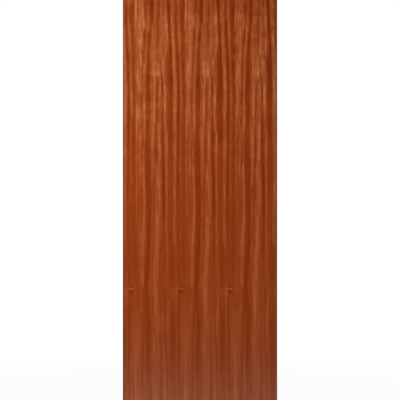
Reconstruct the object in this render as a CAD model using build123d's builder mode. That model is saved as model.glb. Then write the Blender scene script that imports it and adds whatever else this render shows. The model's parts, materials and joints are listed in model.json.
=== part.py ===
"""A veneered flush door leaf, as delivered: no hinges, lock or frame.

A softwood frame of two stiles and two rails holds a chipboard core. A facing is pressed on
each side, a hardwood lipping covers each long edge, and slip-matched veneer leaves run over
the facings and the lippings on both faces. The long arrises are eased.

X runs across the leaf from the hinge edge, Y through its thickness with the front at -Y, and
Z up. The origin is on the hinge edge, at the foot of the leaf and the middle of its thickness.
"""

from build123d import *
import os

# The leaf
leaf_height = 1981.0
leaf_width = 762.0
leaf_thickness = 44.0
arris_radius = 1.0

# The layers, from the face inwards
veneer_thickness = 0.6
facing_thickness = 3.2
lipping_thickness = 8.0

# The frame and what it holds
stile_width = 37.0
top_rail_height = 45.0
bottom_rail_height = 70.0
tongue_thickness = 12.0
tongue_length = 12.0
tongue_end_gap = 1.0
core_gap = 0.5

# How the veneer leaves are laid: the leaf by the hinge edge is cut narrow, the others follow
# at the full width of a leaf, and the last is cut off at the lock edge
first_veneer_width = 191.0
veneer_leaf_width = 246.0
end_joint_height = 555.0

# Worked out from the sizes above
frame_thickness = leaf_thickness - 2 * (veneer_thickness + facing_thickness)
lipping_depth = leaf_thickness - 2 * veneer_thickness
board_width = leaf_width - 2 * lipping_thickness
rail_length = board_width - 2 * stile_width
middle_x = leaf_width / 2
veneer_y = (leaf_thickness - veneer_thickness) / 2
facing_y = (frame_thickness + facing_thickness) / 2

os.makedirs("parts", exist_ok=True)


def keep(piece, name):
    """Labels a finished piece and writes it."""
    piece.part.label = name
    export_step(piece.part, f"parts/{name}.step")


def trim_to_leaf_outline():
    """Cuts the sketch that is open back to the leaf's plan, with its four eased arrises."""
    with Locations((middle_x, 0)):
        RectangleRounded(leaf_width, leaf_thickness, arris_radius, mode=Mode.INTERSECT)


def make_stile(name, outer_x, inward):
    """A stile as long as the leaf is high, grooved at both ends for the tongues of the rails."""
    groove_depth = tongue_length + tongue_end_gap
    groove_x = outer_x + inward * (stile_width - groove_depth / 2)
    with BuildPart() as stile:
        with BuildSketch(Plane.XY):
            with Locations((outer_x + inward * stile_width / 2, 0)):
                Rectangle(stile_width, frame_thickness)
        extrude(amount=leaf_height)
        with BuildSketch(Plane.XY):
            with Locations((groove_x, 0)):
                Rectangle(groove_depth, tongue_thickness)
        extrude(amount=bottom_rail_height, mode=Mode.SUBTRACT)
        with BuildSketch(Plane.XY.offset(leaf_height)):
            with Locations((groove_x, 0)):
                Rectangle(groove_depth, tongue_thickness)
        extrude(amount=-top_rail_height, mode=Mode.SUBTRACT)
    keep(stile, name)


def make_rail(name, foot, height):
    """A rail between the stiles, with a tongue on each end that fills the stile's groove."""
    with BuildPart() as rail:
        with BuildSketch(Plane.XY.offset(foot)):
            with Locations((middle_x, 0)):
                Rectangle(rail_length, frame_thickness)
                Rectangle(rail_length + 2 * tongue_length, tongue_thickness)
        extrude(amount=height)
    keep(rail, name)


def make_lipping(name, outer_x, inward):
    """A strip of solid hardwood over the edges of the stile and both facings."""
    with BuildPart() as lipping:
        with BuildSketch(Plane.XY):
            with Locations((outer_x + inward * lipping_thickness / 2, 0)):
                Rectangle(lipping_thickness, lipping_depth)
            trim_to_leaf_outline()
        extrude(amount=leaf_height)
    keep(lipping, name)


def make_facing(name, side):
    """The board pressed over the frame and the core, between the two lippings."""
    with BuildPart() as facing:
        with BuildSketch(Plane.XY):
            with Locations((middle_x, side * facing_y)):
                Rectangle(board_width, facing_thickness)
        extrude(amount=leaf_height)
    keep(facing, name)


def veneer_cuts():
    """Where the veneer leaves begin and end across the door, from the hinge edge."""
    cuts = [0.0]
    next_cut = first_veneer_width
    while next_cut < leaf_width:
        cuts.append(next_cut)
        next_cut += veneer_leaf_width
    return cuts + [leaf_width]


def make_veneer_leaf(name, side, left, right, foot, top):
    """One leaf of veneer, butted against its neighbours and eased where it meets an arris."""
    with BuildPart() as veneer:
        with BuildSketch(Plane.XY.offset(foot)):
            with Locations(((left + right) / 2, side * veneer_y)):
                Rectangle(right - left, veneer_thickness)
            trim_to_leaf_outline()
        extrude(amount=top - foot)
    keep(veneer, name)


def make_veneered_face(face, side):
    """Both rows of veneer leaves on one face: a short row at the foot and a tall one above it."""
    rows = {"lower": (0.0, end_joint_height), "upper": (end_joint_height, leaf_height)}
    cuts = veneer_cuts()
    for row, (foot, top) in rows.items():
        for number, (left, right) in enumerate(zip(cuts, cuts[1:]), start=1):
            make_veneer_leaf(f"{face}_veneer_{row}_{number}", side, left, right, foot, top)


# The core, glued to the facings and a little short of the frame on every edge
with BuildPart() as core:
    with BuildSketch(Plane.XY.offset(bottom_rail_height + core_gap)):
        with Locations((middle_x, 0)):
            Rectangle(rail_length - 2 * core_gap, frame_thickness)
    extrude(amount=leaf_height - bottom_rail_height - top_rail_height - 2 * core_gap)
keep(core, "core")

make_stile("hinge_stile", lipping_thickness, 1)
make_stile("lock_stile", leaf_width - lipping_thickness, -1)
make_rail("bottom_rail", 0.0, bottom_rail_height)
make_rail("top_rail", leaf_height - top_rail_height, top_rail_height)
make_lipping("hinge_lipping", 0.0, 1)
make_lipping("lock_lipping", leaf_width, -1)
make_facing("front_facing", -1)
make_facing("back_facing", 1)
make_veneered_face("front", -1)
make_veneered_face("back", 1)
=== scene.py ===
# %% [markdown]
# # The finish of a veneered flush door
#
# The leaf comes in from the CAD model at its real size: a softwood frame round a chipboard
# core, a board pressed on each face, hardwood lippings on the long edges, and sixteen leaves of
# red-brown ribbon-striped veneer. Its shapes are right already, so this lesson adds no solids.
# It makes a finish for every piece, and the light that a lacquered door is photographed in.
# Lengths are in metres, and x runs across the leaf, y through it and z up it.

# %% Load the leaf and measure it
import bpy
import json
import math
import numpy as np
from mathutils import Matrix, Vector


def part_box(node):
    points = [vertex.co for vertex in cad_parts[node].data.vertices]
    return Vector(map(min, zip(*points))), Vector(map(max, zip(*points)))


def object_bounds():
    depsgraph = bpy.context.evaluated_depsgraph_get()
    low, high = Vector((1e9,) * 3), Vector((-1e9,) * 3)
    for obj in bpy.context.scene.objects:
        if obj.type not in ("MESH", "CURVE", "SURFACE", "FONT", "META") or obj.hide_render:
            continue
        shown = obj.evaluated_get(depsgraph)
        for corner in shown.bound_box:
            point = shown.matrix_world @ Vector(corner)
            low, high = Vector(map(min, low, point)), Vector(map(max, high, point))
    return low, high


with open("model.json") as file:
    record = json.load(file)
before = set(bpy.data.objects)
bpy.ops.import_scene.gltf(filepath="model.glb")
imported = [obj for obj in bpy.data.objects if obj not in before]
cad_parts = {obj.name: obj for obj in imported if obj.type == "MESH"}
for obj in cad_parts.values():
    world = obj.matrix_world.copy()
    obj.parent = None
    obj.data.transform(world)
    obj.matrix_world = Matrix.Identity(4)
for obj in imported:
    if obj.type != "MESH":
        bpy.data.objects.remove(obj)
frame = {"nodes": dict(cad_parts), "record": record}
leaf_low, leaf_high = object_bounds()
leaf_middle = (leaf_low + leaf_high) / 2
leaf_width = leaf_high.x - leaf_low.x
leaf_height = leaf_high.z - leaf_low.z
leaf_thickness = leaf_high.y - leaf_low.y
mm = 0.001
print("The leaf is %.0f x %.0f x %.0f mm" % (leaf_width / mm, leaf_height / mm, leaf_thickness / mm))

# %% [markdown]
# ## The camera
#
# In the photograph both long edges are upright and parallel, and the leaf fills the picture from
# head to foot. A camera without perspective would give that too, but the mirrored light on the
# lacquer then comes from one direction only. So this is a long lens, square to the face and level
# with its middle. The distance follows from it: the sensor is to the lens as the leaf's height is
# to the distance. The camera stands a hair nearer, so that no background shows at head or foot.

# %% Set up the camera
lens_mm = 135.0
sensor_mm = 36.0
overfill = 1.003
camera_distance = leaf_height * lens_mm / sensor_mm / overfill

camera_data = bpy.data.cameras.new("camera")
camera_data.lens = lens_mm
camera_data.sensor_width = sensor_mm
camera = bpy.data.objects.new("camera", camera_data)
camera.location = (leaf_middle.x, leaf_low.y - camera_distance, leaf_middle.z)
camera.rotation_euler = (math.pi / 2, 0, 0)
bpy.context.scene.collection.objects.link(camera)
bpy.context.scene.camera = camera
bpy.context.scene.view_settings.view_transform = "Standard"
print("The camera stands %.2f m from the face" % camera_distance)

# %% [markdown]
# ## Words for building with nodes
#
# A material is a tree of nodes, and most of these trees are arithmetic. Wired by hand in the
# shader editor they would be hundreds of boxes. With a few short helpers a formula is a line of
# Python instead: one feeds a socket with a number or with another node, one joins a new node to
# the nodes that feed it, in the same tree, and the others each do one kind of sum.

# %% Helpers for numbers
def add_node(tree, kind, **settings):
    """A new shader node of that kind, with its settings."""
    node = tree.nodes.new("ShaderNode" + kind)
    for setting, value in settings.items():
        setattr(node, setting, value)
    return node


def feed(socket, source):
    """Plugs an output into the socket, or writes a number or a colour on it."""
    if isinstance(source, bpy.types.NodeSocket):
        socket.id_data.links.new(source, socket)
    else:
        socket.default_value = source


def join_node(kind, sources, **settings):
    """A node in the tree of its sources: they are listed by socket, or in the order of its sockets."""
    if not isinstance(sources, dict):
        sources = dict(enumerate(sources))
    tree = next(source.id_data for source in sources.values() if isinstance(source, bpy.types.NodeSocket))
    node = add_node(tree, kind, **settings)
    for socket, source in sources.items():
        feed(node.inputs[socket], source)
    return node


def calculate(operation, *terms):
    """One sum on numbers, such as SUBTRACT or MULTIPLY_ADD."""
    return join_node("Math", terms, operation=operation).outputs[0]


def add_up(start, *weighted):
    """The start plus each weight times its value."""
    total = start
    for weight, value in weighted:
        total = calculate("MULTIPLY_ADD", value, weight, total)
    return total


def distance_from(value, middle):
    """How far a value lies from the middle, on either side."""
    return calculate("ABSOLUTE", calculate("SUBTRACT", value, middle))


def sum_of_squares(first, second):
    """First x first + second x second."""
    return calculate("MULTIPLY_ADD", first, first, calculate("MULTIPLY", second, second))


def rescale(value, low, high, new_low=0.0, new_high=1.0, smooth=True):
    """Moves a value from the range low to high onto a new range, and stops at its ends."""
    curve = "SMOOTHSTEP" if smooth else "LINEAR"
    terms = (value, low, high, new_low, new_high)
    return join_node("MapRange", terms, interpolation_type=curve).outputs[0]


def choose(switch, first, second):
    """The first number where the switch is 0, the second where it is 1."""
    terms = {"Factor": switch, "A": first, "B": second}
    return join_node("Mix", terms, data_type="FLOAT").outputs["Result"]


print("Helpers for numbers are ready")

# %% [markdown]
# A pattern is a number that depends on the place. So places get helpers too: they are taken
# apart, put together, stretched and given to a noise. What several materials share becomes a
# node group, which is a function for nodes: it has named sockets and is built only once.

# %% Helpers for places, noise and groups
def point(x, y, z):
    """Three numbers as one place."""
    return join_node("CombineXYZ", (x, y, z)).outputs[0]


def split(place):
    """The X, Y and Z of a place."""
    return join_node("SeparateXYZ", (place,)).outputs


def combine(operation, *places):
    """One sum on places, such as ADD or DIVIDE, for each direction by itself."""
    node = join_node("VectorMath", places, operation=operation)
    return node.outputs["Value" if operation == "DISTANCE" else "Vector"]


def stretch(place, wide, long):
    """Divides a place by a width, twice, and by a length along the grain."""
    return combine("DIVIDE", place, (wide, wide, long))


def noise(place, detail=2.0, roughness=0.5):
    """Soft noise from -1 to 1 with features about one unit of the place apart."""
    node = join_node("TexNoise", {"Vector": place, "Scale": 1.0, "Detail": detail, "Roughness": roughness})
    return calculate("MULTIPLY_ADD", node.outputs["Fac"], 2.0, -1.0)


def find_cells(place):
    """Voronoi cells one unit of the place apart: the distance from a middle, and a chance each."""
    cells = join_node("TexVoronoi", {"Vector": place, "Scale": 1.0}).outputs
    return cells["Distance"], join_node("SeparateColor", (cells["Color"],)).outputs[0]


def start_group(name, outputs, numbers="", places=""):
    """A node group and its two ends: named places and numbers go in, and numbers come out."""
    group = bpy.data.node_groups.new(name, "ShaderNodeTree")
    for socket_names, direction, kind in ((places, "INPUT", "Vector"), (numbers, "INPUT", "Float"),
                                          (outputs, "OUTPUT", "Float")):
        for socket_name in filter(None, socket_names.split(", ")):
            group.interface.new_socket(socket_name, in_out=direction, socket_type="NodeSocket" + kind)
    arrive = group.nodes.new("NodeGroupInput").outputs
    leave = group.nodes.new("NodeGroupOutput").inputs
    return group, arrive, leave


def use_group(group, **sources):
    """Puts the group in a tree, feeds its inputs by name and gives its outputs by name."""
    sources = {socket_name.replace("_", " "): source for socket_name, source in sources.items()}
    return {socket.name: socket for socket in join_node("Group", sources, node_tree=group).outputs}


print("Helpers for places, noise and groups are ready")

# %% [markdown]
# ## The studio
#
# The photograph has a clean white ground. A brighter light would give one, but wash out the wood,
# so the world looks different to different rays. The camera sees it white, and the light on the
# wood is plainer and dimmer. Satin lacquer mirrors what stands in front of it, and on the
# photograph it stays dark and clear. So the two ends of the room that the faces look at are dark
# when they are mirrored, up to a pale ceiling, which lies as a thin veil on the head of the leaf.
# The world isn't sampled as a lamp, because such samples don't know a mirrored ray from others.

# %% Make the world
world_light = 0.40
mirrored_light = 0.6
dark_end = 0.02
face_turn = (0.5, 0.8)
ceiling_rise = (0.1, 0.4)
white = (1, 1, 1, 1)


def sort_rays(tree):
    """Light Path as two masks: seen by the camera, and mirrored or passed on."""
    ray = add_node(tree, "LightPath").outputs
    mirrored = calculate("MAXIMUM", ray["Is Glossy Ray"], ray["Is Transmission Ray"])
    return ray["Is Camera Ray"], mirrored


def glow(tree, kind, strength):
    """White light of that strength, from a Background or an Emission."""
    node = add_node(tree, kind)
    feed(node.inputs["Color"], white)
    feed(node.inputs["Strength"], strength)
    return node.outputs[0]


def mix_shaders(factor, first, second):
    """The first shader where the factor is 0, the second where it is 1."""
    return join_node("MixShader", (factor, first, second)).outputs[0]


world = bpy.data.worlds.new("studio")
bpy.context.scene.world = world
world.cycles.sampling_method = "NONE"
world.use_nodes = True
room = world.node_tree
room.nodes.clear()
seen, mirrored = sort_rays(room)
direction = split(add_node(room, "TexCoord").outputs["Generated"])
towards_face = calculate("ABSOLUTE", direction["Y"])
ends = rescale(towards_face, *face_turn, mirrored_light, dark_end)
ceiling = rescale(direction["Z"], *ceiling_rise, dark_end, mirrored_light)
mirror_image = calculate("MAXIMUM", ends, ceiling)
ground = glow(room, "Background", calculate("MAXIMUM", seen, mirror_image))
shown = calculate("MAXIMUM", seen, mirrored)
sky = mix_shaders(shown, glow(room, "Background", world_light), ground)
feed(add_node(room, "OutputWorld").inputs["Surface"], sky)
print("The world lights with %.2f and is mirrored as %.2f" % (world_light, mirrored_light))

# %% [markdown]
# ## The lamps
#
# One lamp would leave the back dull, and small ones would show as hard glints in the lacquer.
# So there are three, each a wide soft disc that faces the middle of the leaf: a key at the left
# of the front, one behind, and one above. They are as strong as it takes for a colour to render
# as it is written.

# %% Hang the lamps
lamps = {
    # name: place, width in metres, power in watts
    "key": ((-1.35, -1.9, 1.85), 1.3, 48.2),
    "back": ((2.2, 2.5, 1.8), 2.2, 58.0),
    "top": ((leaf_middle.x, -0.5, 4.4), 1.4, 24.0),
}
for lamp_name, (place, size, power) in lamps.items():
    lamp_data = bpy.data.lights.new(lamp_name, "AREA")
    lamp_data.shape = "DISK"
    lamp_data.size = size
    lamp_data.energy = power
    lamp = bpy.data.objects.new(lamp_name, lamp_data)
    lamp.location = place
    lamp.rotation_euler = (leaf_middle - lamp.location).to_track_quat("-Z", "Y").to_euler()
    bpy.context.scene.collection.objects.link(lamp)
print("Lamps:", ", ".join(lamps))

# %% [markdown]
# ## The floor
#
# A round pale floor lies under the leaf. A square one would show its edges, so this one is
# worked out as rings and spokes, and it fades away towards its rim. Most of what the camera sees
# of it is the white of the ground, and the rest is lit paint, which keeps the shadow of the leaf.
# The lacquer mirrors it as a haze at the foot of the leaf, paler close to the leaf than far off.

# %% Lay the floor
floor_radius = 2.2
floor_fade = 0.45
floor_rings = 12
floor_spokes = 64
floor_gap = 0.5 * mm


def make_disc(name, centre, radius, rings, spokes):
    """A flat disc: each point lies at a share of the radius along one of the spokes."""
    share, turn = np.meshgrid(np.linspace(1 / rings, 1, rings), np.arange(spokes) * 2 * np.pi / spokes)
    points = np.stack([share * np.cos(turn), share * np.sin(turn), 0 * share], axis=-1) * radius
    points = np.vstack([points.reshape(-1, 3), [[0, 0, 0]]]) + np.array(centre)
    spoke, ring = np.meshgrid(np.arange(spokes), np.arange(rings - 1), indexing="ij")
    here = spoke * rings + ring
    there = (spoke + 1) % spokes * rings + ring
    bands = np.stack([here, here + 1, there + 1, there], axis=-1).reshape(-1, 4)
    first = np.arange(spokes) * rings
    middle = np.stack([np.full(spokes, spokes * rings), first, np.roll(first, -1)], axis=-1)
    mesh = bpy.data.meshes.new(name)
    mesh.from_pydata(points.tolist(), [], bands.tolist() + middle.tolist())
    disc = bpy.data.objects.new(name, mesh)
    bpy.context.scene.collection.objects.link(disc)
    return disc


floor_centre = (leaf_middle.x, leaf_middle.y, leaf_low.z - floor_gap)
floor = make_disc("floor", floor_centre, floor_radius, floor_rings, floor_spokes)
print("The floor has %d faces" % len(floor.data.polygons))

# %% Paint the floor
floor_colour = (0.6, 0.6, 0.6, 1)
white_share = 0.93
mirrored_foot = 1.3
mirrored_floor = 0.9
haze_reach = (0.05, 0.55)

paint = bpy.data.materials.new("pale_floor")
paint.use_nodes = True
paint.cycles.emission_sampling = "NONE"
tree = paint.node_tree
tree.nodes.clear()
seen, mirrored = sort_rays(tree)
place = add_node(tree, "TexCoord").outputs["Object"]
rim = rescale(combine("DISTANCE", place, floor_centre), floor_radius * floor_fade, floor_radius)
underside = add_node(tree, "NewGeometry").outputs["Backfacing"]
in_front = calculate("ABSOLUTE", split(place)["Y"])
haze = rescale(in_front, *haze_reach, mirrored_foot, mirrored_floor)
bright = glow(tree, "Emission", choose(mirrored, 1.0, haze))
shown = calculate("MULTIPLY", calculate("MAXIMUM", seen, mirrored), white_share)
lit_paint = add_node(tree, "BsdfDiffuse")
feed(lit_paint.inputs["Color"], floor_colour)
painted = mix_shaders(shown, lit_paint.outputs[0], bright)
cleared = calculate("MAXIMUM", rim, underside)
surface = mix_shaders(cleared, painted, add_node(tree, "BsdfTransparent").outputs[0])
feed(add_node(tree, "OutputMaterial").inputs["Surface"], surface)
floor.data.materials.append(paint)
print("Nodes in the floor's paint: %d" % len(tree.nodes))

# %% [markdown]
# ## How the veneer is laid
#
# A veneer is sliced off a log like pages off a book. Here the slices are slip matched: each is
# slid sideways off the one before it, the same face up, so the same figure comes again in every
# leaf of veneer. One pattern over the whole door would miss that. So the group below turns a
# place on the door into a place on a leaf of veneer: how far it is across from the joint on its
# left, as the viewer sees it, and which leaf it is. Seen from behind, the row starts at the
# front's last joint and runs the other way. Side runs from 1 at the hinge edge to -1 at the lock.

# %% Find the joints in the frame
first_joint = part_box("front_veneer_upper_1")[1].x
veneer_low, veneer_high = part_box("front_veneer_upper_2")
veneer_width = veneer_high.x - veneer_low.x
last_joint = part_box("front_veneer_upper_4")[0].x
end_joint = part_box("front_veneer_upper_1")[0].z
print("Joints every %.0f mm from %.0f mm, end joint at %.0f mm"
      % (veneer_width / mm, first_joint / mm, end_joint / mm))

# %% Make the group that finds a place on the veneer
back_leaf_numbers = 11.0
veneer_place, arrive, leave = start_group("place on the veneer", "Across, Height, Leaf, Side",
                                          places="Position")
axes = split(arrive["Position"])
on_back = calculate("GREATER_THAN", axes["Y"], leaf_middle.y)
front_along = calculate("SUBTRACT", axes["X"], first_joint)
back_along = calculate("SUBTRACT", last_joint, axes["X"])
along = choose(on_back, front_along, back_along)
number = calculate("FLOOR", calculate("DIVIDE", along, veneer_width))
for socket_name, source in (
        ("Across", calculate("MULTIPLY_ADD", number, -veneer_width, along)),
        ("Height", axes["Z"]),
        ("Leaf", calculate("MULTIPLY_ADD", on_back, back_leaf_numbers, number)),
        ("Side", rescale(axes["X"], 0.0, leaf_width, 1.0, -1.0, smooth=False))):
    feed(leave[socket_name], source)
print("The group gives:", ", ".join(socket.name for socket in leave if socket.name))

# %% [markdown]
# ## The figure
#
# The stripes come from interlocked grain: the fibres lean one way for a few years of growth and
# then the other, and quarter slicing shows each turn as a light or a dark ribbon. Noise alone
# gives stripes, but not these. So the ribbons are drawn, as a boat builder draws a plank:
# each runs smoothly through a few stations, and at a station it has a height, a place across the
# leaf of veneer and a shade, from about -1, dark, to 1, light. The number before the stations is
# its half width. All but the shade are millimetres, and a ribbon is listed from its head down.

# %% Draw the ribbons of the tall leaves
upper_ribbons = {
    "light beside the joint": (7, [
        (1981, 17, 0.15), (1890, 20, 0.35), (1760, 24, 0.5), (1715, 24, 0)]),
    "dark line at the head": (6.5, [
        (1981, 31, -1), (1880, 36, -1), (1750, 43, -0.85), (1690, 47, -0.35), (1600, 50, -0.3),
        (1520, 50, 0)]),
    "dark band": (14, [
        (1770, 41, 0), (1715, 40, -0.65), (1640, 39, -0.9), (1550, 43, -0.95), (1440, 42, -0.5),
        (1340, 43, -0.8), (1240, 43, -0.5), (1040, 43, -0.35), (960, 43, -0.15), (700, 50, -0.3),
        (560, 54, -0.35)]),
    "light ribbon beside the band": (7.5, [
        (1981, 51, 0.25), (1890, 51, 0.55), (1780, 55, 0.65), (1730, 59, 0.7), (1630, 63, 0.5),
        (1530, 67, 0.6), (1430, 67, 0.8), (1340, 66, 0.4), (1230, 67, 0.8), (1130, 66, 0.6),
        (1010, 65, 0.85), (900, 64, 0.6), (780, 65, 0.6), (740, 67, 0.05), (560, 73, 0.1)]),
    "dark ribbon after it": (6.5, [
        (1981, 71, -0.3), (1890, 71, -0.6), (1850, 72, -0.95), (1780, 75, -0.95), (1710, 79, -1.1),
        (1640, 81, -1.05), (1490, 84, -0.85), (1390, 82, -1), (1240, 83, -0.85), (1090, 81, -0.75),
        (990, 79, -0.5), (860, 80, -0.45), (560, 85, -0.2)]),
    "light line past it": (5.5, [
        (1981, 82, 0.5), (1880, 84, 0.25), (1790, 89, 0.4), (1745, 90, 0.3), (1700, 92, 0),
        (1550, 96, 0.15), (1500, 98, 0.4), (1440, 98, 0.6), (1400, 98, 0.45), (1340, 97, 0.05),
        (1010, 95, 0.2), (900, 95, 0)]),
    "dark band in the middle": (10, [
        (1981, 103, -0.25), (1860, 102, -0.75), (1780, 106, -0.65), (1720, 108, -0.85), (1630, 107, -0.75),
        (1530, 110, -0.7), (1440, 108, -0.5), (1240, 109, -0.45), (1090, 109, -0.35), (930, 105, -0.25),
        (740, 112, -0.3), (560, 110, 0)]),
    "bright line at the head": (4.5, [
        (1981, 121, 0.95), (1900, 121, 1), (1860, 121, 0.4), (1760, 122, 0.2), (1700, 122, 0)]),
    "broad light band": (13, [
        (1981, 147, 0.35), (1880, 144, 0.5), (1820, 142, 0.5), (1750, 139, 0.6), (1700, 138, 0.6),
        (1600, 134, 0.55), (1540, 133, 0.45), (1480, 132, 0.2), (1400, 133, 0.2), (1320, 133, 0)]),
    "bright line in it": (4.5, [
        (1981, 138, 0.1), (1820, 132, 0.3), (1730, 130, 0), (1600, 128, 0.05), (1480, 124, 0.25),
        (1370, 124, 0.6), (1240, 123, 0.45), (940, 125, 0.4), (800, 125, 0)]),
    "second light line": (5, [
        (1480, 139, 0), (1400, 137, 0.3), (1330, 146, 0.4), (1240, 139, 0.4), (1150, 140, 0.75),
        (1100, 139, 0.35), (950, 143, 0.3), (850, 143, 0.1), (740, 137, 0)]),
    "dark flecks": (5, [
        (1981, 168, -0.25), (1890, 168, -0.15), (1860, 166, 0), (1820, 163, -0.75), (1760, 162, -0.65),
        (1720, 157, -0.3), (1680, 155, -0.5), (1560, 151, -0.35), (1490, 149, -0.6), (1370, 148, -0.15),
        (1290, 156, -0.4), (1200, 149, -0.3), (1130, 148, 0)]),
    "light fleck at the head": (5, [
        (1895, 158, 0), (1855, 160, 0.5), (1825, 157, 0)]),
    "second light fleck": (5, [
        (1890, 188, 0), (1850, 184, 0.55), (1815, 178, 0)]),
    "light line between": (6, [
        (1981, 183, 0), (1870, 176, 0.3), (1730, 168, 0.2), (1500, 162, 0.25), (1430, 162, 0.45),
        (1350, 161, 0.7), (1190, 157, 0.35), (1140, 158, 0.65), (990, 160, 0.65), (945, 160, 0.7),
        (830, 157, 0.6), (730, 152, 0.5), (690, 151, 0.4), (590, 148, 0.5), (556, 147, 0.2)]),
    "its broad foot": (8.5, [
        (960, 158, 0), (880, 153, 0.35), (800, 148, 0.55), (740, 146, 0.65), (690, 146, 0.35),
        (620, 147, 0.45), (556, 145, 0.3)]),
    "strong dark ribbon": (7.5, [
        (1981, 196, -0.9), (1885, 196, -1), (1850, 191, -0.6), (1800, 188, -1), (1700, 183, -0.7),
        (1660, 182, -1), (1580, 181, -0.7), (1500, 180, 0)]),
    "its wide foot": (11, [
        (1620, 181, 0), (1510, 179, -0.9), (1360, 180, -0.85), (1290, 178, -0.6), (1240, 178, -0.9),
        (1140, 180, -0.7), (920, 183, -0.8), (790, 182, -0.9), (690, 176, -0.95), (556, 171, -0.85)]),
    "light after the dark": (10, [
        (1981, 213, 0.25), (1890, 212, 0.35), (1780, 208, 0.3), (1650, 211, 0.6), (1490, 208, 0.4),
        (1330, 203, 0.35), (1280, 203, 0.3), (1240, 202, 0.1), (1100, 204, 0)]),
    "light beside it": (5, [
        (1420, 191, 0), (1345, 191, 0.5), (1290, 191, 0.35), (1240, 193, 0)]),
    "light fleck past it": (5, [
        (1410, 219, 0), (1350, 220, 0.45), (1290, 219, 0.3), (1250, 219, 0)]),
    "its bright line": (5.5, [
        (1520, 208, 0), (1430, 208, 0.4), (1360, 207, 0.2), (1240, 204, 0.55), (1080, 203, 0.45),
        (1040, 202, 0.2), (930, 203, 0.45), (860, 202, 0.25), (740, 200, 0.4), (690, 198, 0.2),
        (556, 189, 0.3)]),
    "dark patches by the next joint": (7, [
        (1981, 235, -0.2), (1910, 232, -0.5), (1795, 228, -0.5), (1700, 232, -0.1), (1675, 236, -0.2),
        (1640, 244, 0), (1545, 224, -0.5), (1440, 224, -0.25), (1385, 223, -0.4), (1300, 215, -0.3),
        (1220, 216, -0.35), (1160, 216, 0), (1040, 213, -0.15), (740, 210, -0.05), (700, 208, 0)]),
    "light patch at the next joint": (8, [
        (1700, 236, 0), (1670, 232, 0.15), (1640, 230, 0.35), (1605, 232, 0.3), (1570, 236, 0)]),
    "light ribbon at the next joint": (6.5, [
        (1800, 243, 0.3), (1740, 243, 0.75), (1690, 242, 0.3), (1610, 242, 0.25), (1500, 241, 0.35),
        (1400, 242, 0.5), (1300, 236, 0.55), (1200, 236, 0.7), (1170, 235, 0.6), (1120, 237, 0.8),
        (950, 237, 0.75), (900, 234, 0.4), (860, 230, 0)]),
    "its branch": (5, [
        (1180, 230, 0.2), (1110, 225, 0.8), (1050, 224, 0.6), (930, 222, 0.75), (870, 222, 0)]),
    "both together": (12.5, [
        (960, 232, 0), (910, 229, 0.35), (850, 227, 0.8), (740, 224, 0.9), (690, 220, 0.95), (620, 217, 1),
        (556, 214, 0.85)]),
    "pale strip by the joint": (6, [
        (1981, 3, 0.2), (1880, 4, 0.35), (1700, 4, 0.35), (1640, 3, 0.45), (1595, 3, 0)]),
    "light at the joint": (6.5, [
        (1700, 6, 0), (1660, 8, 0.4), (1620, 10, 0.1), (1560, 13, 0.3), (1530, 16, 0.85), (1430, 17, 0.9),
        (1345, 20, 0.5), (1310, 26, 0.8), (1260, 26, 0.8), (1210, 25, 0.5), (1090, 26, 0.6),
        (960, 26, 0.5), (740, 28, 0.4), (556, 34, 0.1)]),
    "dark at the joint": (6, [
        (1560, 2, 0), (1545, 2, -0.7), (1510, 2, -0.3), (1430, 2, -0.4), (1345, 4, -0.85), (1200, 6, -0.9),
        (1140, 9, -1), (915, 12, -0.95), (870, 12, -0.45), (790, 12, -0.45), (680, 12, 0)]),
    "sharp fleck at the joint": (2.6, [
        (1625, 2, 0), (1595, 3, -1), (1550, 6, -1.2), (1525, 8, -0.5), (1500, 8, 0)]),
}
print("Ribbons of the tall leaves: %d" % len(upper_ribbons))

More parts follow.
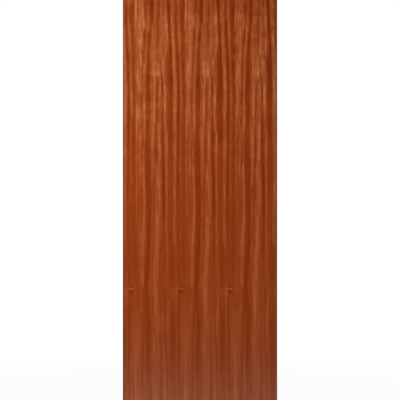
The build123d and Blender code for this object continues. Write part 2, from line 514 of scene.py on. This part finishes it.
# %% Draw the ribbons of the short leaves at the foot
lower_ribbons = {
    "light ribbon": (5.5, [
        (555, 33, 0.1), (500, 32, 0.4), (430, 31, 0.6), (340, 30, 0.6), (290, 31, 0.35), (250, 34, 0.45),
        (150, 38, 0.25), (0, 40, 0.25)]),
    "light at the joint": (7, [
        (460, 3, 0.15), (400, 5, 0.4), (350, 6, 0.4), (300, 8, 0.25), (250, 13, 0.45), (150, 15, 0.4),
        (80, 15, 0.5), (0, 14, 0.6)]),
    "thin dark line": (4, [
        (430, 20, -0.3), (350, 20, -0.4), (260, 23, -0.55), (180, 26, -0.45), (100, 28, -0.3),
        (0, 27, -0.3)]),
    "dark band": (13, [
        (520, 52, 0), (470, 54, -0.35), (400, 55, -0.65), (340, 56, -0.8), (280, 57, -0.8),
        (220, 57, -0.75), (160, 54, -0.45), (100, 55, -0.3), (0, 56, -0.25)]),
    "light line": (5, [
        (555, 73, 0.2), (500, 72, 0.45), (450, 72, 0.2), (350, 73, 0.15), (250, 74, 0.2), (0, 75, 0.2)]),
    "dark line": (5.5, [
        (555, 90, -0.45), (500, 85, -0.5), (435, 83, -0.85), (390, 84, -0.65), (320, 84, -0.8),
        (180, 86, -0.85), (110, 87, -0.75), (60, 88, -0.3), (0, 88, -0.15)]),
    "broad light": (26, [
        (480, 118, 0), (430, 120, 0.25), (380, 121, 0.4), (300, 121, 0.55), (220, 120, 0.55),
        (150, 119, 0.45), (60, 118, 0.25), (0, 118, 0.2)]),
    "light line at the foot": (6, [
        (250, 121, 0), (200, 121, 0.15), (120, 119, 0.15), (50, 118, 0.25), (0, 118, 0.3)]),
    "light patch under the end joint": (6, [
        (555, 143, 0.2), (500, 146, 0.45), (460, 148, 0.55), (436, 148, 0.2), (410, 146, 0)]),
    "dark line beside the broad light": (5.5, [
        (460, 158, -0.3), (400, 160, -0.45), (330, 158, -0.35), (270, 153, -0.5), (200, 152, -0.65),
        (120, 150, -0.6), (0, 149, -0.4)]),
    "thin light line": (4, [
        (300, 164, 0), (250, 164, 0.3), (180, 163, 0.3), (0, 162, 0.25)]),
    "strong dark band": (11.5, [
        (555, 171, -0.85), (500, 174, -0.8), (430, 179, -0.75), (385, 183, -0.95), (320, 182, -0.9),
        (240, 179, -0.8), (180, 179, -0.65), (120, 181, -0.45), (60, 184, -0.3), (0, 186, -0.3)]),
    "bright ribbon": (12, [
        (555, 215, 0.95), (500, 215, 1), (450, 217, 0.95), (400, 220, 0.9), (350, 220, 0.8),
        (310, 214, 0.8), (250, 214, 0.75), (200, 214, 0.65), (120, 217, 0.5), (0, 216, 0.45)]),
    "light by the next joint": (6, [
        (440, 236, 0), (400, 238, 0.45), (370, 238, 0.3), (340, 236, 0.1), (270, 234, 0.2),
        (230, 235, 0.35), (0, 232, 0.3)]),
    "dark at the next joint": (4, [
        (300, 246, 0), (200, 246, -0.35), (120, 245, -0.6), (50, 243, -0.75), (0, 242, -0.9)]),
    "dark at the joint": (4, [
        (150, 0, -0.2), (80, 0, -0.6), (0, 0, -0.7)]),
}
print("Ribbons of the short leaves: %d" % len(lower_ribbons))

# %% [markdown]
# A float curve is the node for such a line: it takes the height and gives the place, and a second
# one gives the shade. It is made for shares from 0 to 1, so heights are shares of a tall span and
# places shares of a wide one. Across the ribbon the shade is a rounded plateau: whole in the
# middle, and falling away past the half width as a bell of the fourth power.

# %% Turn stations into nodes
tall_span = 2.0
wide_span = 0.25
bell_base = math.exp(-1)


def draw_curve(height_share, levels):
    """A smooth curve without overshoot: each level is a height in metres and the value there."""
    points = sorted((height / tall_span, value) for height, value in levels)
    node = join_node("FloatCurve", {"Value": height_share})
    curve = node.mapping.curves[0]
    curve.points[0].location = points[0]
    curve.points[1].location = points[-1]
    for x, y in points[1:-1]:
        curve.points.new(x, y)
    for knot in curve.points:
        knot.handle_type = "AUTO_CLAMPED"
    node.mapping.extend = "HORIZONTAL"
    node.mapping.update()
    return node.outputs[0]


def add_ribbon(total, across, height_share, half_width, stations):
    """Adds shade(height) x bell((across - place(height)) / half width) to the total."""
    places = [(height * mm, place * mm / wide_span) for height, place, shade in stations]
    shades = [(height * mm, (shade + 1) / 2) for height, place, shade in stations]
    place = draw_curve(height_share, places)
    shade = calculate("MULTIPLY_ADD", draw_curve(height_share, shades), 2.0, -1.0)
    offset = calculate("MULTIPLY_ADD", place, -wide_span, across)
    offset = calculate("DIVIDE", offset, half_width * mm)
    squared = calculate("MULTIPLY", offset, offset)
    bell = calculate("POWER", bell_base, calculate("MULTIPLY", squared, squared))
    return calculate("MULTIPLY_ADD", bell, shade, total)


ribbons = [*upper_ribbons.values(), *lower_ribbons.values()]
print("Stations drawn: %d" % sum(len(stations) for half_width, stations in ribbons))


# %% Make the figure of each row
def make_figure(name, ribbons):
    """The sum of all ribbons, a shade from about -1 to 1."""
    group, arrive, leave = start_group(name, "Shade", numbers="Across, Height")
    height_share = calculate("DIVIDE", arrive["Height"], tall_span)
    total = 0.0
    for half_width, stations in ribbons.values():
        total = add_ribbon(total, arrive["Across"], height_share, half_width, stations)
    feed(leave["Shade"], total)
    print("Nodes in the %s: %d" % (name, len(group.nodes)))
    return group


upper_figure = make_figure("figure of the tall leaves", upper_ribbons)
lower_figure = make_figure("figure of the short leaves", lower_ribbons)

# %% [markdown]
# ## Grain and pores
#
# Seen close, the ribbons are made of finer streaks, and the pores of this wood are short dark
# dashes a fifth of a millimetre wide. All of it follows the grain, so the group takes a place
# whose third number runs along the grain. One layer of noise looks like smoke, so there are four:
# strands as long as a hand, narrow long streaks, short flecks, and fibres. A fifth noise moves
# them sideways by a millimetre or so and gives them teeth. The pores are the middles of cells
# that are long and thin, and one cell in four has none. Veneer and lippings share the group.

# %% Make the group for grain and pores
strand_width = 14 * mm
fleck_width = 7 * mm
grain_sizes = {
    # layer: width and length of its features
    "Strands": (strand_width, 150 * mm),
    "Streaks": (6.5 * mm, 320 * mm),
    "Flecks": (fleck_width, 48 * mm),
    "Fibres": (2 * mm, 70 * mm),
}
grain_detail = (4.0, 0.6)
tooth_size, tooth_detail = (3 * mm, 120 * mm), (3.0, 0.6)
tooth_reach = 1.6 * mm
pore_size = (0.7 * mm, 6.5 * mm)
pore_reach, pore_core = 0.26, 0.13
pored_share = 0.75

grain, arrive, leave = start_group("grain and pores", "Strands, Streaks, Flecks, Fibres, Pores, Teeth",
                                   places="Place")
teeth = noise(stretch(arrive["Place"], *tooth_size), *tooth_detail)
toothed = combine("MULTIPLY_ADD", point(teeth, teeth, 0.0),
                  (tooth_reach, tooth_reach, 0.0), arrive["Place"])
feed(leave["Teeth"], teeth)
for layer, size in grain_sizes.items():
    feed(leave[layer], noise(stretch(toothed, *size), *grain_detail))
from_cell, chance = find_cells(stretch(arrive["Place"], *pore_size))
dash = rescale(from_cell, pore_reach, pore_core)
open_cell = calculate("LESS_THAN", chance, pored_share)
feed(leave["Pores"], calculate("MULTIPLY", dash, open_cell))
print("Layers of grain:", ", ".join(socket.name for socket in leave if socket.name))

# %% [markdown]
# ## The joints
#
# Where two leaves of veneer meet there is a hairline, too thin to see from far off. The end joint
# near the foot is less perfect: in each leaf of veneer pale slivers of filler lie along it, with
# soft dark spots beside them. All of them are ellipses, placed once and repeated by the leaf: a
# place is inside one where the squares of two shares, across and up, come to less than 1.

# %% Make the group for an ellipse
ellipse_core = 0.2
ellipse, arrive, leave = start_group("ellipse on the veneer", "Mask",
                                     numbers="Across, Height, Middle, Level, Half width, Half height")
sideways, upwards = [
    calculate("DIVIDE", calculate("SUBTRACT", arrive[value], arrive[middle]), arrive[half])
    for value, middle, half in (("Across", "Middle", "Half width"), ("Height", "Level", "Half height"))]
squares = sum_of_squares(sideways, upwards)
feed(leave["Mask"], rescale(squares, 1.0, ellipse_core))
print("Nodes in the ellipse: %d" % len(ellipse.nodes))

# %% [markdown]
# ## The arrises
#
# The long corners are eased with fine paper. Along them the colour is painted darker and duller,
# as shade on the rounded arris, in a soft band on the veneer and a narrow line on the lippings. On a
# face the distance from the arris is measured across the leaf, on an edge through it. The greater of
# the two is right on both, so one group serves both, and the width of the band is one of its sockets.

# %% Make the group for the arrises
arris, arrive, leave = start_group("near an arris", "Mask", numbers="Width", places="Position")
axes = split(arrive["Position"])
inside_width, inside_thickness = [
    calculate("SUBTRACT", half_span, distance_from(axes[axis], middle))
    for axis, middle, half_span in (("X", leaf_middle.x, leaf_width / 2),
                                    ("Y", leaf_middle.y, leaf_thickness / 2))]
from_arris = calculate("MAXIMUM", inside_width, inside_thickness)
feed(leave["Mask"], rescale(from_arris, arrive["Width"], 0.0))
print("Nodes in the group for the arrises: %d" % len(arris.nodes))

# %% [markdown]
# ## Colours and finishes
#
# A paint program writes a colour as three numbers up to 255, and Blender mixes light, so each
# colour goes through one formula first. A finish is a table: roughness and relief are sums of
# layers, a start and a weight for each, and the other entries are plain numbers. The Principled
# shader of each material is fed from its table, and the relief goes through a Bump node.

# %% Helpers for colours and finishes
def linear(red, green, blue):
    """A colour as a paint program shows it, 0 to 255, turned into the light that Blender mixes."""
    def to_light(level):
        share = level / 255
        return share / 12.92 if share <= 0.04045 else ((share + 0.055) / 1.055) ** 2.4
    return (to_light(red), to_light(green), to_light(blue), 1.0)


def add_ramp(factor, stops):
    """A colour ramp, straight between its stops."""
    node = join_node("ValToRGB", (factor,))
    elements = node.color_ramp.elements
    while len(elements) < len(stops):
        elements.new(0.5)
    for element, (position, colour) in zip(elements, stops):
        element.position = position
        element.color = linear(*colour)
    return node.outputs[0]


def blend_colours(factor, first, second, blend="MIX"):
    """A mix of two colours, whose sockets come after those for mixing numbers and places."""
    terms = {0: factor, 6: first, 7: second}
    return join_node("Mix", terms, data_type="RGBA", blend_type=blend).outputs[2]


def add_layers(layers, start, weights):
    """The start plus each layer times its weight: both go by the layer's name."""
    return add_up(start, *((weight, layers[layer]) for layer, weight in weights.items()))


def start_material(name):
    """A material with an empty tree but for its Principled shader, and the place on the object."""
    material = bpy.data.materials.new(name)
    material.use_nodes = True
    tree = material.node_tree
    tree.nodes.clear()
    shader = add_node(tree, "BsdfPrincipled")
    feed(add_node(tree, "OutputMaterial").inputs["Surface"], shader.outputs[0])
    return material, shader.inputs, add_node(tree, "TexCoord").outputs["Object"]


def apply_finish(shader, colour, layers, finish):
    """Feeds the shader its colour and what the finish's table says."""
    relief = add_layers(layers, *finish["relief"])
    feed(shader["Base Color"], colour)
    feed(shader["Roughness"], add_layers(layers, *finish["roughness"]))
    feed(shader["Specular IOR Level"], finish["specular"])
    feed(shader["Normal"], join_node("Bump", {"Height": relief, "Distance": finish["depth"]}).outputs[0])


print("The middle grey of a screen is %.2f of its white as light" % linear(128, 128, 128)[0])

# %% [markdown]
# ## The veneer
#
# The figure of a leaf of veneer is nearly that of its neighbour, but each slice lies a little
# deeper in the log. So the ribbons are bent by noise whose third direction is the depth: a slow
# one shifts them by a few millimetres, and one as narrow as a strand frays their edges.

# %% Bend the ribbons from slice to slice
slip_step = 0.3
slip_shift, drift_size = 4.4 * mm, (60 * mm, 450 * mm)
fray, fray_size = 2.2 * mm, (strand_width, 320 * mm)


def slice_noise(slip, wide, long, detail=2.0):
    """Noise on a slice of the log, with features that wide and that long."""
    sideways = calculate("DIVIDE", slip["Across"], wide)
    upwards = calculate("DIVIDE", slip["Height"], long)
    return noise(point(sideways, slip["Depth"], upwards), detail)


def bend_slice(slip):
    """Across + shift x slow noise + fray x narrow noise."""
    drift = slice_noise(slip, *drift_size)
    frayed = slice_noise(slip, *fray_size)
    return add_up(slip["Across"], (slip_shift, drift), (fray, frayed))


print("A ribbon moves sideways by up to %.1f mm" % ((slip_shift + fray) / mm))

# %% [markdown]
# In its lightest parts the veneer has a cross mottle: the fibres also wave in and out along the
# grain, and each wave shows as a faint bar across it. It comes in patches, high up on the leaf.

# %% Make the group for the mottle
bar_size, bar_detail = (70 * mm, 34 * mm), 3.0
patch_size, patch_edge = (80 * mm, 220 * mm), 0.3
mottle_level = 1.7
mottle_spread = 0.8
mottle_core = mottle_spread / 3

mottle, arrive, leave = start_group("cross mottle", "Mottle", numbers="Across, Height, Depth")
bars = slice_noise(arrive, *bar_size, bar_detail)
patches = rescale(slice_noise(arrive, *patch_size), -patch_edge, patch_edge)
off_level = distance_from(arrive["Height"], mottle_level)
zone = rescale(off_level, mottle_spread, mottle_core)
patchy = calculate("MULTIPLY", patches, zone)
feed(leave["Mottle"], calculate("MULTIPLY", bars, patchy))
print("The mottle lies %.1f m up, give or take %.1f m" % (mottle_level, mottle_spread))

# %% [markdown]
# Ribbons and grain make one shade, from dark to light. Strands make the ribbons uneven, as the
# light catches them. On the photograph the figure is calmer towards the foot and the flecks are
# strongest near the head, so both are curves over the height.

# %% Shade the ribbons and the grain
ribbon_evenness = 0.94
strand_unevenness = 0.5
grain_weights = {"Strands": 0.5, "Streaks": 0.7, "Flecks": 0.85, "Fibres": 1.25}
flecks_by_height = ((0.0, 0.2), (0.9, 0.35), (1.3, 0.6), (1.6, 0.9), (1.8, 0.95), (2.0, 0.8))
contrast_by_height = ((0.0, 0.8), (0.1, 0.64), (0.5, 0.6), (0.6, 0.7), (0.9, 0.72), (1.1, 0.88),
                      (1.25, 0.87), (1.6, 1.0), (1.75, 1.0), (2.0, 1.2))


def shade_veneer(across, height, height_share, layers):
    """Contrast x (ribbons x uneven strands + grain)."""
    ribbons = [use_group(figure, Across=across, Height=height)["Shade"]
               for figure in (lower_figure, upper_figure)]
    figure = choose(calculate("GREATER_THAN", height, end_joint), *ribbons)
    uneven = add_up(ribbon_evenness, (strand_unevenness, layers["Strands"]))
    flecks = calculate("MULTIPLY", draw_curve(height_share, flecks_by_height), layers["Flecks"])
    shade = add_layers({**layers, "Flecks": flecks}, calculate("MULTIPLY", figure, uneven),
                       grain_weights)
    return calculate("MULTIPLY", shade, draw_curve(height_share, contrast_by_height))


print("Grain in the shade:", ", ".join(grain_weights))

# %% [markdown]
# The slivers and spots at the end joint are added to the shade. Teeth make their rims ragged, and
# streaks and fibres break them up, or they would look like paint.

# %% Add the slivers at the end joint
slivers = (
    # middle, height above the end joint, half width, half height, all in millimetres, and strength
    (93, -3, 21, 2.6, 1.0),
    (66, -2, 14, 2, 0.5),
    (130, -8, 9, 4, 0.56),
    (70, -26, 5, 16, 0.24),
    (95, -20, 15, 15, -0.48),
    (97, 11, 14, 11, -0.28),
)
sliver_raggedness = 1.5 * mm
sliver_break = {"Fibres": 0.8, "Streaks": 0.9}


def add_slivers(shade, across, height, layers):
    """The shade + strength x ellipse x (1 + fibres + streaks), for each sliver."""
    ragged = add_up(height, (sliver_raggedness, layers["Teeth"]))
    broken = add_layers(layers, 1.0, sliver_break)
    for middle, level, half_width, half_height, strength in slivers:
        mask = use_group(ellipse, Across=across, Height=ragged, Middle=middle * mm,
                         Level=end_joint + level * mm, Half_width=half_width * mm,
                         Half_height=half_height * mm)["Mask"]
        shade = add_up(shade, (strength, calculate("MULTIPLY", mask, broken)))
    return shade


print("Slivers and spots in each leaf of veneer: %d" % len(slivers))

# %% [markdown]
# A ramp turns the tone into the red-browns of the wood, from dark to light. The tone changes
# slowly over the height, partly as the wood's own tone and partly as painted light and shade:
# lighter at the very foot and darker at the very head. It is also lighter towards one side or the
# other, which is painted light. Warm patches run along the grain. A painted veil of mirrored light
# makes the wood browner near the head and the foot, and a painted grey haze at the foot stands for
# the floor mirrored in the lacquer.

# %% Name the colours of the veneer
veneer_colours = (
    (0.0, (114, 34, 0)),
    (0.25, (136, 47, 0)),
    (0.38, (144, 53, 2)),
    (0.5, (151, 60, 15)),
    (0.75, (169, 80, 37)),
    (1.0, (197, 109, 69)),
)
# partly the wood's own tone, partly painted light and shade: lighter at the foot, darker at the head
tone_and_light_by_height = ((0.0, 0.6), (0.07, 0.55), (0.2, 0.5), (0.45, 0.53), (0.9, 0.5), (1.25, 0.545),
                  (1.6, 0.61), (1.8, 0.58), (1.9, 0.53), (2.0, 0.46))
# painted light and shade across the leaf: above 0.5 the hinge side is the lighter one, below it the lock
# side
light_tilt_by_height = ((0.0, 0.68), (0.06, 0.66), (0.18, 0.56), (0.3, 0.46), (0.45, 0.42), (0.75, 0.44),
                    (0.95, 0.5), (1.2, 0.53), (1.4, 0.6), (1.65, 0.65), (1.9, 0.7), (2.0, 0.7))
light_tilt_strength = 0.2
warm_tint = (1.0, 0.99, 0.74, 1.0)
warm_size, warm_edge = (30 * mm, 260 * mm), 0.5
# a painted veil of mirrored light near the head and the foot, which makes the wood browner
painted_veil_tint = (0.97, 1.1, 1.12, 1.0)
painted_veil_tones = (0.2, 0.5)
painted_veil_by_height = ((0.0, 1.0), (0.1, 0.9), (0.4, 0.3), (1.1, 0.1), (1.7, 0.9), (2.0, 0.9))
# a painted grey haze at the foot, as of the pale floor mirrored in the lacquer
painted_haze_grey = linear(150, 126, 112)
painted_haze_break = {"Strands": 0.8}
painted_haze_by_height = ((0.0, 0.075), (0.1, 0.05), (0.2, 0.028), (0.35, 0.01), (0.5, 0.0), (2.0, 0.0))
print("Colours of the veneer: %d" % len(veneer_colours))


# %% Colour the veneer
def set_tone_and_light(side, height_share):
    """Tone and painted light by height + strength x side x (painted side light - 0.5)."""
    light_tilt = calculate("SUBTRACT", draw_curve(height_share, light_tilt_by_height), 0.5)
    painted_light_tilt = calculate("MULTIPLY", side, light_tilt)
    return add_up(draw_curve(height_share, tone_and_light_by_height), (light_tilt_strength, painted_light_tilt))


def colour_veneer(tone, slip, height_share, layers):
    """The ramp's colour x warm tint in patches x painted veil of mirrored light by height, and painted
    haze over it.
    """
    wood = add_ramp(tone, veneer_colours)
    warm = rescale(slice_noise(slip, *warm_size), -warm_edge, warm_edge)
    wood = blend_colours(warm, wood, warm_tint, "MULTIPLY")
    # painted veil of mirrored light, in the lighter tones near head and foot
    painted_veil = calculate("MULTIPLY", draw_curve(height_share, painted_veil_by_height),
                        rescale(tone, *painted_veil_tones))
    wood = blend_colours(painted_veil, wood, painted_veil_tint, "MULTIPLY")
    # painted haze at the foot, broken up by the strands
    painted_foot_haze = calculate("MULTIPLY", draw_curve(height_share, painted_haze_by_height),
                        add_layers(layers, 1.0, painted_haze_break))
    return blend_colours(painted_foot_haze, wood, painted_haze_grey)


# how high the painted haze at the foot reaches
print("The scuffs end %.1f m up" % min(height for height, share in painted_haze_by_height if share == 0))

# %% [markdown]
# Now the formulas meet in one material. Pores are darker than the wood and a little duller, and
# they are shallow pits in the lacquer, which lies smooth over the rest.

# %% Make the veneer
mottle_strength = 0.75
pore_darkness = 1.1
shade_strength = 0.4
# painted shade along the long corners: a darker, duller colour in a band 12 mm wide
arris_shade_colour, arris_shade_width, arris_shade_strength = linear(80, 56, 42), 12 * mm, 0.76
veneer_finish = {
    "roughness": (0.28, {"Pores": 0.06, "Strands": 0.04}),
    "specular": 0.22,
    "relief": (0.0, {"Fibres": 0.1, "Pores": -1.0}),
    "depth": 0.03 * mm,
}


def make_veneer():
    """Lacquered veneer: tone + strength x (ribbons + grain + mottle - pores + slivers), coloured."""
    material, shader, place = start_material("ribbon_striped_veneer")
    laid = use_group(veneer_place, Position=place)
    height = laid["Height"]
    height_share = calculate("DIVIDE", height, tall_span)
    depth = calculate("MULTIPLY", laid["Leaf"], slip_step)
    slip = {"Across": laid["Across"], "Height": height, "Depth": depth}
    across = bend_slice(slip)
    into_log = calculate("MULTIPLY", depth, fleck_width)
    layers = use_group(grain, Place=point(across, into_log, height))
    across = add_up(across, (tooth_reach, layers["Teeth"]))
    shade = shade_veneer(across, height, height_share, layers)
    bars = use_group(mottle, Across=across, Height=height, Depth=depth)["Mottle"]
    shade = add_up(shade, (mottle_strength, bars), (-pore_darkness, layers["Pores"]))
    shade = add_slivers(shade, across, height, layers)
    tone = add_up(set_tone_and_light(laid["Side"], height_share), (shade_strength, shade))
    wood = colour_veneer(tone, slip, height_share, layers)
    # painted shade near the arrises, mixed into the colour
    corner = use_group(arris, Position=place, Width=arris_shade_width)["Mask"]
    painted_arris_shade = calculate("MULTIPLY", corner, arris_shade_strength)
    apply_finish(shader, blend_colours(painted_arris_shade, wood, arris_shade_colour), layers, veneer_finish)
    return material


veneer = make_veneer()
print("The veneer has %d nodes of its own" % len(veneer.node_tree.nodes))

# %% [markdown]
# ## The lippings
#
# The long edges are strips of the same wood, but solid. The grain runs up them, so the place on
# the object can go straight into the grain group. A strip is too narrow for a ribbon pattern, and
# soft stripes are enough. Cut ends drink lacquer and turn darker: those are the faces at the very
# head and foot, found by their height.

# %% Name the finish of the lippings
lipping_colours = (
    (0.0, (98, 34, 4)),
    (0.5, (140, 58, 14)),
    (1.0, (176, 94, 46)),
)
end_skin = 0.05 * mm
stripe_size = (22 * mm, 900 * mm)
lipping_arris = 1.6 * mm
lipping_tone, lipping_strength = 0.5, 0.45
# the Arris layer is painted shade along the long corners
lipping_weights = {"Stripes": 0.8, "Strands": 0.7, "Streaks": 0.3, "Flecks": 0.6, "Fibres": 0.6,
                   "Pores": -0.9, "Arris": -0.5, "Cut end": -0.7}
lipping_finish = {
    "roughness": (0.33, {"Pores": 0.15, "Cut end": 0.25}),
    "specular": 0.22,
    "relief": (0.0, {"Fibres": 0.15, "Pores": -1.0}),
    "depth": 0.04 * mm,
}
print("Layers in the shade of a lipping: %d" % len(lipping_weights))


# %% Make the lippings
def find_cut_end(along, low, high):
    """1 on the two faces square to the grain, 0 elsewhere."""
    reach = (high - low) / 2 - end_skin
    return calculate("GREATER_THAN", distance_from(along, (low + high) / 2), reach)


def make_lipping(name, node):
    """Solid lipping: soft stripes + grain - pores, with painted shade on the arrises, darker on the cut
    ends.
    """
    material, shader, place = start_material(name)
    low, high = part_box(node)
    layers = use_group(grain, Place=place)
    layers["Stripes"] = noise(stretch(place, *stripe_size))
    layers["Arris"] = use_group(arris, Position=place, Width=lipping_arris)["Mask"]
    layers["Cut end"] = find_cut_end(split(place)["Z"], low.z, high.z)
    shade = add_layers(layers, 0.0, lipping_weights)
    tone = add_up(lipping_tone, (lipping_strength, shade))
    apply_finish(shader, add_ramp(tone, lipping_colours), layers, lipping_finish)
    return material


lippings = {name: make_lipping(name + "_wood", name) for name in ("hinge_lipping", "lock_lipping")}
print("Lippings made:", ", ".join(lippings))

# %% [markdown]
# ## The softwood frame
#
# Stiles and rails are sawn from a conifer and left bare. Its year rings are cylinders round the
# pith of the trunk: pale soft wood that darkens slowly to a thin hard line and then starts again.
# The solid pattern is the distance from the pith, counted in rings. Where a saw cuts across, it
# shows arcs, and along the grain long stripes, from the same formula. Each stick comes from another
# spot in a tree, so each has its own pith, outside its section, and its own stretch of noise.

# %% Make the group for year rings
ring_width = 3.2 * mm
ring_wander, wander_size, wander_detail = 5 * mm, (30 * mm, 600 * mm), (4.0, 0.45)
fibre_size, fibre_detail = (0.5 * mm, 25 * mm), (3.0, 0.6)
late_start, late_full, ring_end = 0.4, 0.9, 0.975

rings, arrive, leave = start_group("year rings", "Late wood, Fibre", numbers="Tree", places="Place, Pith")
shifted = combine("ADD", arrive["Place"], point(0.0, 0.0, arrive["Tree"]))
wander = noise(stretch(shifted, *wander_size), *wander_detail)
from_pith = split(combine("SUBTRACT", arrive["Place"], arrive["Pith"]))
radius = calculate("SQRT", sum_of_squares(from_pith["X"], from_pith["Y"]))
count = calculate("DIVIDE", add_up(radius, (ring_wander, wander)), ring_width)
year = calculate("FRACT", count)
late = calculate("MULTIPLY", rescale(year, late_start, late_full),
                 rescale(year, 1.0, ring_end))
feed(leave["Late wood"], late)
feed(leave["Fibre"], noise(stretch(shifted, *fibre_size), *fibre_detail))
print("A year ring is %.1f mm wide" % (ring_width / mm))

# %% Name the finish of the softwood
early_wood = linear(214, 180, 130)
late_wood = linear(168, 116, 66)
cut_wood = linear(150, 108, 66)
cut_strength = 0.45
softwood_tone = (0.1, {"Late wood": 0.85, "Fibre": 0.4})
softwood_finish = {
    "roughness": (0.78, {"Late wood": -0.12}),
    "specular": 0.3,
    "relief": (0.0, {"Late wood": 0.6, "Fibre": 0.4}),
    "depth": 0.12 * mm,
}
sticks = {
    # piece: the axis that its grain runs along, and its pith from its middle, in millimetres
    "hinge_stile": ("Z", (70, -38)),
    "lock_stile": ("Z", (-24, 95)),
    "top_rail": ("X", (-12, -58)),
    "bottom_rail": ("X", (52, 30)),
}
grain_orders = {"Z": "XYZ", "X": "YZX"}
print("The frame has %d sticks" % len(sticks))


# %% Make the softwood of each stick
def make_softwood(name, node, grain_axis, pith, tree_number):
    """Bare softwood: early and late wood mixed by the year rings, darker where it is cut across."""
    material, shader, place = start_material(name)
    low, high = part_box(node)
    centre = dict(zip("XYZ", (low + high) / 2))
    order = grain_orders[grain_axis]
    axes = split(place)
    turned = point(*(axes[axis] for axis in order))
    pith_place = (centre[order[0]] + pith[0] * mm, centre[order[1]] + pith[1] * mm, 0.0)
    layers = use_group(rings, Place=turned, Pith=pith_place, Tree=float(tree_number))
    wood = blend_colours(add_layers(layers, *softwood_tone), early_wood, late_wood)
    if grain_axis == "Z":
        cut_end = find_cut_end(axes["Z"], leaf_low.z, leaf_high.z)
        wood = blend_colours(calculate("MULTIPLY", cut_end, cut_strength), wood, cut_wood)
    apply_finish(shader, wood, layers, softwood_finish)
    return material


frame_woods = {name: make_softwood(name + "_wood", name, grain_axis, pith, tree_number)
               for tree_number, (name, (grain_axis, pith)) in enumerate(sticks.items(), start=1)}
print("Sticks made:", ", ".join(frame_woods))

# %% [markdown]
# ## The facings and the core
#
# Between frame and veneer lies a thin board of pressed fibres. Its edge shows at head and foot as
# a tan line, a little darker next to its two faces, where the press makes it denser. A plain tan
# would look painted close up, so it is a felt of fine noise. The core is chipboard. No side of it
# shows on a whole door, but it is finished like the rest: flakes are cells of a Voronoi pattern
# squashed through the thickness, each with a colour of its own.

# %% Make the facing board
facing_low, facing_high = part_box("back_facing")
facing_middle = (facing_low.y + facing_high.y) / 2 - leaf_middle.y
facing_half = (facing_high.y - facing_low.y) / 2
facing_inner = linear(166, 132, 94)
facing_outer = linear(126, 94, 62)
soft_share = 0.35
felt_size, clump_size = 0.45 * mm, 4 * mm
crumb_detail = (3.0, 0.7)
facing_tone = (0.1, {"Pressed": 0.65, "Felt": 0.45, "Clumps": 0.25})
facing_finish = {
    "roughness": (0.85, {"Felt": 0.1}),
    "specular": 0.25,
    "relief": (0.0, {"Felt": 1.0}),
    "depth": 0.08 * mm,
}


def make_facing_board():
    """Fibre board: felted noise, darker near the two pressed faces."""
    material, shader, place = start_material("pressed_fibre_board")
    from_plane = distance_from(split(place)["Y"], leaf_middle.y)
    off_middle = distance_from(from_plane, facing_middle)
    layers = {
        "Pressed": rescale(off_middle, facing_half * soft_share, facing_half),
        "Felt": noise(stretch(place, felt_size, felt_size), *crumb_detail),
        "Clumps": noise(stretch(place, clump_size, clump_size)),
    }
    colour = blend_colours(add_layers(layers, *facing_tone), facing_inner, facing_outer)
    apply_finish(shader, colour, layers, facing_finish)
    return material


facing_board = make_facing_board()
print("The facings are %.1f mm thick" % (2 * facing_half / mm))

# %% Make the chipboard
flake_colours = (
    (0.0, (132, 96, 60)),
    (0.35, (170, 136, 94)),
    (0.7, (190, 160, 116)),
    (1.0, (214, 190, 150)),
)
flake_size = (5 * mm, 1.2 * mm, 5 * mm)
fines_size = 0.8 * mm
seam_edges = (0.45, 0.8)
chipboard_tone = (0.0, {"Flakes": 1.0, "Seams": -0.5, "Fines": 0.3})
chipboard_finish = {
    "roughness": (0.82, {"Fines": 0.1}),
    "specular": 0.25,
    "relief": (0.0, {"Seams": -1.0, "Fines": 0.5}),
    "depth": 0.3 * mm,
}


def make_chipboard():
    """Chipboard: squashed Voronoi cells, each of its own tint, with dark glue between them."""
    material, shader, place = start_material("chipboard")
    from_flake, chance = find_cells(combine("DIVIDE", place, flake_size))
    layers = {
        "Flakes": chance,
        "Seams": rescale(from_flake, *seam_edges),
        "Fines": noise(stretch(place, fines_size, fines_size), *crumb_detail),
    }
    colour = add_ramp(add_layers(layers, *chipboard_tone), flake_colours)
    apply_finish(shader, colour, layers, chipboard_finish)
    return material


core_board = make_chipboard()
print("A flake is about %.0f mm long" % (flake_size[0] / mm))

# %% [markdown]
# ## Every piece gets its finish
#
# The record says what each piece is made of. Veneer, facings and core have one finish each, and
# every stick of solid wood gets its own, so that no two share a tree.

# %% Assign the finishes
finish_by_slot = {"veneer": veneer, "facing_board": facing_board, "core_board": core_board}
finish_by_node = {**lippings, **frame_woods}
slot_by_node = {subpart["node"]: subpart["material_slot"] for subpart in frame["record"]["subparts"]}
for name, node in frame["nodes"].items():
    finish = finish_by_node.get(name) or finish_by_slot[slot_by_node[name]]
    node.material_slots[0].material = finish
print("Pieces finished: %d, with %d finishes"
      % (len(frame["nodes"]), len(finish_by_slot) + len(finish_by_node)))
